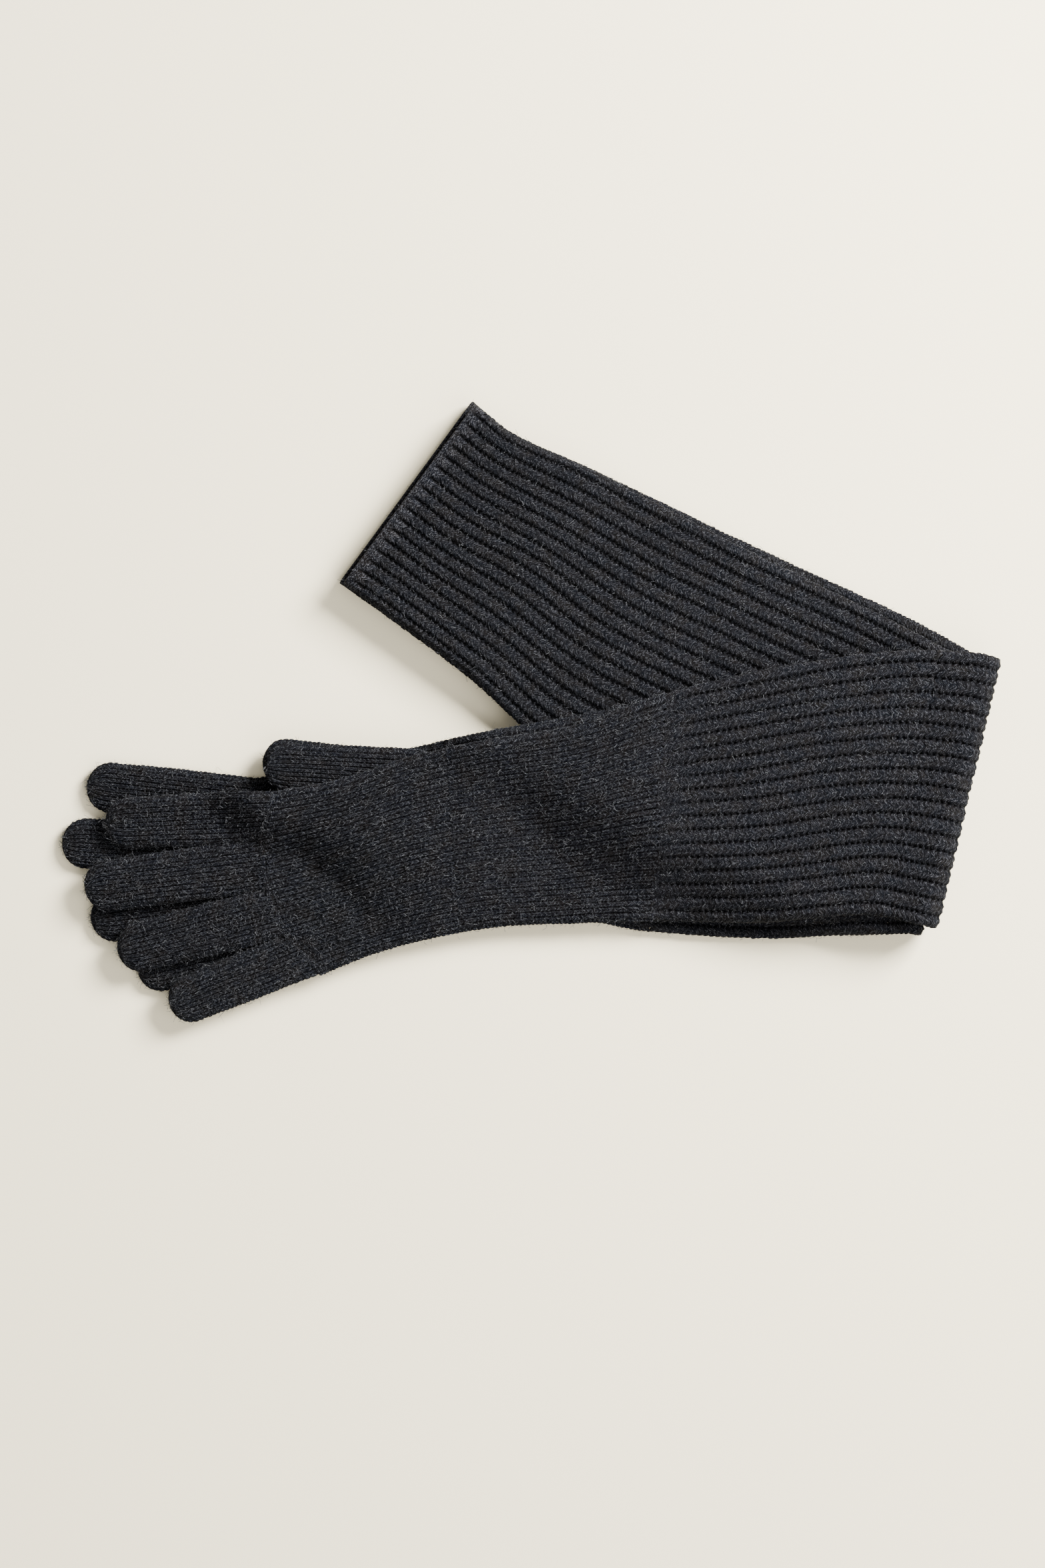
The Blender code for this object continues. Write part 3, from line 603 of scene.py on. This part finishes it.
def round_the_fold(glove, along, around, lift):
    """Points on the sleeve near the fold: along counts from the folded end's side of it."""
    arc = math.pi * glove["bend"]
    angle = np.clip((along - FOLD_REACH) / arc, 0, 1) * math.pi
    inner = np.clip((glove["bend"] - TUBE / 2) / RIB_ROOM, LEAST_INSIDE, 1)
    bent = fold_surface(glove, angle, around, np.where(around % 1 < 0.5, lift, lift * inner))
    before = sleeve_end_surface(glove, np.maximum(FOLD_REACH - along, 0), around, lift)
    after = fore_surface(glove, np.maximum(along - FOLD_REACH - arc, 0), around, lift)
    points = np.where((along < FOLD_REACH)[..., None], before, bent)
    return np.where((along > FOLD_REACH + arc)[..., None], after, points)


def part_of(grid, rows, columns):
    """The same knit grid, cut down to these rows and columns."""
    return {**grid, "row": grid["row"][rows], "around": grid["around"][columns],
            "drawn": grid["drawn"][columns], "lift": grid["lift"][rows, columns]}


for side, glove in GLOVES.items():
    body = side + "_sleeve"
    sleeve_run = trace(glove["core"], glove["steps"])[:len(LEFT_SLEEVE) + 1, :2]
    rib_stop = np.sum(np.linalg.norm(np.diff(sleeve_run, axis=0), axis=1))
    bend_length = 2 * FOLD_REACH + math.pi * glove["bend"]
    courses = round(bend_length / RIB_COURSE)
    pitch = bend_length / courses
    grid = knit_grid(courses, RIBS, RIB_COLUMNS, RIB_LEGS, RIB_HEIGHTS, RIB_COURSE_HEIGHTS,
                     13 + glove["stack"])
    middle_row, side_column = len(grid["row"]) // 2, len(grid["around"]) // 2
    reach = direction(FOLD_TURN - 90) * FOLD_REACH
    back, ahead = (*(glove["core"] - reach), FOLD_RADIUS), (*(glove["core"] + reach), FOLD_RADIUS)
    low, high = ((*FOLD_EDGE, FOLD_RADIUS + turn * glove["bend"] * FOLD_BLEND_SHARE) for turn in (-1, 1))
    every, outer, inner = slice(None), slice(0, side_column + 1), slice(side_column, None)
    if glove["upper"]:
        parts = [("_fold_knit", every, every, low, high)]
    else:
        parts = [("_fold_knit", every, outer, low, high),
                 ("_fold_inside_below_knit", slice(0, middle_row + 1), inner, back, ahead),
                 ("_fold_inside_above_knit", slice(middle_row, None), inner, ahead, back)]
    for ending, rows, columns, start, end in parts:
        piece = knit(side + ending, part_of(grid, rows, columns),
                     lambda along, around, lift: round_the_fold(glove, along, around, lift), pitch,
                     SLEEVE_ROUND, RIB_WOOL)
        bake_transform(piece)

    courses = round((rib_stop - FOLD_REACH) / RIB_COURSE)
    pitch = (rib_stop - FOLD_REACH) / courses
    grid = knit_grid(courses, RIBS, RIB_COLUMNS, RIB_LEGS, RIB_HEIGHTS, RIB_COURSE_HEIGHTS,
                     15 + glove["stack"])
    until_wrist = courses - grid["row"][:, None] + RUN_OUT_UNEVEN * np.sin(grid["around"] * RIBS * 2.7)
    kept = RUN_OUT_DEPTH + (1 - RUN_OUT_DEPTH) * smooth(until_wrist / RUN_OUT_COURSES)
    grid["lift"] = grid["lift"] * kept
    piece = knit(side + "_sleeve_knit", grid,
                 lambda along, around, lift: fore_surface(glove, along, around, lift),
                 pitch, SLEEVE_ROUND, RIB_WOOL, place_rows=lambda drawn: FOLD_REACH + drawn * pitch)
    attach(piece, body)
    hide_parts(side + "_sleeve")
    hairs = fuzz(side + "_sleeve_fuzz", piece, FUZZ_SHARE, 43)
    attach(hairs, body)
    glove["rib_stop"] = rib_stop

# ---------------------------------------------------------------------------------------------------
# Wrists and hands: plain knitting in the round, every stitch a small V, about two millimetres across.
# The ribs of the sleeve run out into it.
# ---------------------------------------------------------------------------------------------------
WALES = 76
PLAIN_COURSE = 0.00185
PLAIN_COLUMNS = np.array([0.0, 1, 2, 3, 4, 5]) / 6
PLAIN_LEGS = np.array([0.72, 0.50, 0.25, 0.0, 0.25, 0.50])
PLAIN_HEIGHTS = np.array([-0.80, 0.05, 0.26, -0.12, 0.26, 0.05]) * 0.001
PLAIN_COURSE_HEIGHTS = np.array([[-0.14, -0.30, -0.30, -0.18, -0.30, -0.30],
                                 [0.04, 0.10, 0.08, 0.0, 0.08, 0.10],
                                 [0.0, 0.06, 0.06, 0.0, 0.06, 0.06]]) * 0.001
HAND_ROUND = 0.156
HAND_EDGE = 0.0042
KNUCKLES = LEFT_HAND[-1][2]
WRIST_OVERLAP = 0.014
# The sleeve's ribs run out over the wrist's first courses, from this share of their height.
WRIST_RUN_OUT = 11
WRIST_RIB_LIFT = 0.0003
WRIST_RIB_DEPTH = RUN_OUT_DEPTH + 0.2
# Courses over which the stitches' legs draw in where a piece is joined or closed.
END_FADE = 4
BOW_GROWTH = 1.6
# The hand's end, from the thumb's side: (across, ahead) of the knuckles' middle at each fork.
FORKS = np.array([(0.0395, 0.0005), (0.0215, 0.0125), (0.0003, 0.0150), (-0.0195, 0.0121), (-0.0390, 0.0020)])


def hand_surface(glove, along, around, lift):
    """Points on the wrist and hand, where the courses bow forward towards the forks between the fingers."""
    length = glove["fore"][0][-1]
    start = glove["wrist_stop"]
    middle, across, width = on_line(glove["fore"], np.minimum(along, length))
    wide, up = flat_tube(width, TUBE - 2 * STITCH_INSET, HAND_EDGE, around, lift)
    share = np.clip((along - start) / (length - start), 0, 1)
    bow = np.interp(wide / width * KNUCKLES, FORKS[::-1, 0], FORKS[::-1, 1]) * share ** BOW_GROWTH
    forward = direction(glove["steps"][-1][1])
    plan = middle + across * wide[..., None] + forward * bow[..., None]
    return np.concatenate([plan, (fore_height(glove, plan) + up)[..., None]], -1)


for side, glove in GLOVES.items():
    middles = trace(glove["core"], glove["steps"])[:len(LEFT_SLEEVE) + 3, :2]
    bend = np.cumsum(np.linalg.norm(np.diff(middles, axis=0), axis=1))[-1]
    glove["wrist_stop"] = bend + WRIST_OVERLAP
    length = glove["fore"][0][-1]
    spans = {"wrist": (glove["rib_stop"], glove["wrist_stop"]), "hand": (glove["wrist_stop"], length)}
    for part, (start, stop) in spans.items():
        courses = round((stop - start) / PLAIN_COURSE)
        pitch = (stop - start) / courses
        grid = knit_grid(courses, WALES, PLAIN_COLUMNS, PLAIN_LEGS, PLAIN_HEIGHTS, PLAIN_COURSE_HEIGHTS,
                         (17 if part == "wrist" else 31) + glove["stack"])
        if part == "wrist":
            ribs = rib_height(grid["around"])
            run_out = 1 - smooth((grid["row"][:, None] - 1) / WRIST_RUN_OUT)
            grid["lift"] = grid["lift"] + (ribs[None, :] + WRIST_RIB_LIFT) * run_out * WRIST_RIB_DEPTH
        piece = knit(side + "_" + part + "_knit", grid,
                     lambda along, around, lift: hand_surface(glove, along, around, lift),
                     pitch, HAND_ROUND, PLAIN_WOOL, fade_end=0 if part == "wrist" else END_FADE,
                     place_rows=lambda drawn: start + drawn * pitch)
        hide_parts(side + "_" + part)
        hairs = fuzz(side + "_" + part + "_fuzz", piece, FUZZ_SHARE, 44)
        for soft in (piece, hairs):
            if part == "hand":
                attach(soft, side + "_hand")
            else:
                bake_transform(soft)

# ---------------------------------------------------------------------------------------------------
# Fingers and thumbs: each is a small tube of plain knitting, picked up from the hand's end and closed at
# the tip, where its wales draw together. The thumbs lie between the palms and swing out of the thumb's side.
# ---------------------------------------------------------------------------------------------------
FINGERS = ["index_finger", "middle_finger", "ring_finger", "little_finger"]
FINGER_WIDTHS = [0.0214, 0.0214, 0.0212, 0.0198]
FINGER_REACHES = [0.0573, 0.0645, 0.0577, 0.0502]
HEADINGS = {"left_glove": [182.5, 187.3, 194.4, 202.0], "right_glove": [173.6, 177.2, 187.5, 193.0]}
FINGER_WALES = 24
FINGER_ROUND = 0.0476
FINGER_EDGE = 0.0044
ROOT_OVERLAP = 0.0022
ROOT_SINK = 0.00045
TIP_COURSES = 6
TIP_FADE = 5
FINGER_TAPER = 0.05
FINGER_UNEVEN = 0.022
LEAST_WIDTH = 1e-6
UNEVEN_RUN = 0.0083
UNEVEN_START = 0.012
FINGER_STATIONS = (0.24, 0.5, 0.75, 1)
THUMB_STATIONS = (0, 0.33, 0.66, 1)


def closed_end(share):
    """How much of its width and of its thickness a fingertip has, at this share of the way to its end."""
    return np.sqrt(np.maximum(1 - share ** 2.3, 0)), np.sqrt(np.maximum(1 - share ** 5, 0))


def digit(name, sections, reach, radius, height, tall, seed, closed_root=False):
    """A finger or thumb along the curve through these sections, round-tipped past its reach. height gives the
    height of its middle at points in plan."""
    curve = smooth_line(sections)
    courses = round(reach / PLAIN_COURSE)
    pitch = reach / courses
    grid = knit_grid(courses + TIP_COURSES, FINGER_WALES, PLAIN_COLUMNS, PLAIN_LEGS, PLAIN_HEIGHTS,
                     PLAIN_COURSE_HEIGHTS, seed)
    forward = sections[-1][:2] - sections[-2][:2]
    forward = forward / np.linalg.norm(forward)

    def place_rows(drawn):
        past = np.clip((drawn - courses) / TIP_COURSES, 0, 1)
        return np.minimum(drawn, courses) * pitch + radius * np.sin(past * math.pi / 2)

    def surface(along, around, lift):
        wide_share, tall_share = closed_end(np.clip((along - reach) / radius, 0, 1))
        if closed_root:
            root_wide, root_tall = closed_end(np.clip(1 - along / radius, 0, 1))
            wide_share, tall_share = wide_share * root_wide, tall_share * root_tall
        middle, across, width = on_line(curve, np.minimum(along, curve[0][-1]))
        middle = middle + forward * np.maximum(along - curve[0][-1], 0)[..., None]
        thick = (tall - 2 * STITCH_INSET) * tall_share
        if not closed_root:
            thick = thick - 2 * ROOT_SINK * (1 - smooth(along / ROOT_OVERLAP / 1.5))
        uneven = np.sin(along / UNEVEN_RUN + seed) * np.sin(around * 2 * math.pi) * FINGER_UNEVEN
        taper = 1 - FINGER_TAPER * smooth(along / reach * 2 - 1) + uneven * smooth(along / UNEVEN_START)
        wide, up = flat_tube(np.maximum(width * wide_share * taper, LEAST_WIDTH), np.maximum(thick, 0),
                             FINGER_EDGE, around, lift * np.minimum(tall_share, wide_share))
        plan = middle + across * wide[..., None]
        return np.concatenate([plan, (height(plan) + up)[..., None]], -1)

    return knit(name, grid, surface, pitch, FINGER_ROUND, PLAIN_WOOL,
                fade_start=END_FADE if closed_root else 0, fade_end=TIP_FADE, place_rows=place_rows)


for side, glove in GLOVES.items():
    knuckle = glove["fore"][1][-1]
    forward, across = direction(glove["steps"][-1][1]), knuckle[2:] / np.linalg.norm(knuckle[2:])
    forks = knuckle[:2] + across * FORKS[:, :1] + forward * FORKS[:, 1:]
    level = (LAYER if glove["upper"] else 0) + TUBE / 2
    for index, finger in enumerate(FINGERS):
        upper, lower = forks[index], forks[index + 1]
        heading = direction(HEADINGS[side][index])
        outward = np.array([-(upper - lower)[1], (upper - lower)[0]])
        outward = outward / np.linalg.norm(outward)
        root = np.concatenate([(upper + lower) / 2 - outward * ROOT_OVERLAP, (upper - lower) / 2])
        half = np.array([-heading[1], heading[0]]) * -FINGER_WIDTHS[index] / 2
        reach = FINGER_REACHES[index]
        stations = [np.concatenate([root[:2] + heading * reach * share, half]) for share in FINGER_STATIONS]
        name = side + "_" + finger
        piece = digit(name + "_knit", np.array([root] + stations), reach, FINGER_WIDTHS[index] / 2,
                      lambda plan: fore_height(glove, plan), TUBE, 61 + index + 10 * glove["stack"])
        hairs = fuzz(name + "_fuzz", piece, FUZZ_SHARE, 71 + index)
        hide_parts(name)
        for soft in (piece, hairs):
            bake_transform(soft)

    pivot, tip = glove["thumb"]
    heading = (tip - pivot) / np.linalg.norm(tip - pivot)
    half = np.array([heading[1], -heading[0]]) * -THUMB_WIDTH / 2
    start = pivot - heading * THUMB_WIDTH / 2
    reach = np.linalg.norm(tip - start)
    stations = np.array([np.concatenate([start + heading * reach * share, half]) for share in THUMB_STATIONS])
    level = TUBE + GAP + THUMB_TUBE / 2 + (THUMB_TUBE + GAP if glove["upper"] else 0)
    name = side + "_thumb"
    piece = digit(name + "_knit", stations, reach, THUMB_WIDTH / 2, lambda plan: level, THUMB_TUBE,
                  65 + glove["stack"], True)
    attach(piece, name)
    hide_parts(name)
    hairs = fuzz(name + "_fuzz", piece, FUZZ_SHARE, 76)
    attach(hairs, name)

# ---------------------------------------------------------------------------------------------------
# Studio: a sheet of warm off-white paper, one broad soft light from the upper right, a little fill, and a
# camera straight above.
# ---------------------------------------------------------------------------------------------------
paper = bpy.data.materials.new("warm_white_paper")
paper.use_nodes = True
paper.node_tree.nodes["Principled BSDF"].inputs["Base Color"].default_value = linear("#f7edcf")
paper.node_tree.nodes["Principled BSDF"].inputs["Roughness"].default_value = 0.95
paper.node_tree.nodes["Principled BSDF"].inputs["Specular IOR Level"].default_value = 0.1
bm = bmesh.new()
bmesh.ops.create_grid(bm, x_segments=1, y_segments=1, size=3)
floor_mesh = bpy.data.meshes.new("paper_floor")
bm.to_mesh(floor_mesh)
bm.free()
floor_mesh.materials.append(paper)
floor = bpy.data.objects.new("paper_floor", floor_mesh)
floor.location.z = -0.0002
bpy.context.scene.collection.objects.link(floor)

for name, place, size, power in (("key_light", (1.0, 0.74, 0.9), 0.62, 132.0),
                                 ("fill_light", (0.9, -0.9, 1.4), 1.6, 34.0)):
    light = bpy.data.lights.new(name, "AREA")
    light.size, light.energy, light.color = size, power, (1.0, 0.975, 0.94)
    lamp = bpy.data.objects.new(name, light)
    lamp.location = place
    lamp.rotation_euler = (-Vector(place)).to_track_quat("-Z", "Y").to_euler()
    bpy.context.scene.collection.objects.link(lamp)
world = bpy.data.worlds.new("studio")
world.use_nodes = True
world.node_tree.nodes["Background"].inputs["Color"].default_value = (1.0, 0.985, 0.95, 1)
world.node_tree.nodes["Background"].inputs["Strength"].default_value = 0.6
bpy.context.scene.world = world

VIEW_CENTRE = (-0.0020, -0.0294)
VIEW_LONG_SIDE = 0.6468
CAMERA_HEIGHT = 1.6
camera_data = bpy.data.cameras.new("camera")
camera_data.sensor_width = 36.0
camera_data.lens = 36.0 * CAMERA_HEIGHT / VIEW_LONG_SIDE
camera = bpy.data.objects.new("camera", camera_data)
camera.location = (*VIEW_CENTRE, CAMERA_HEIGHT)
bpy.context.scene.collection.objects.link(camera)
bpy.context.scene.camera = camera
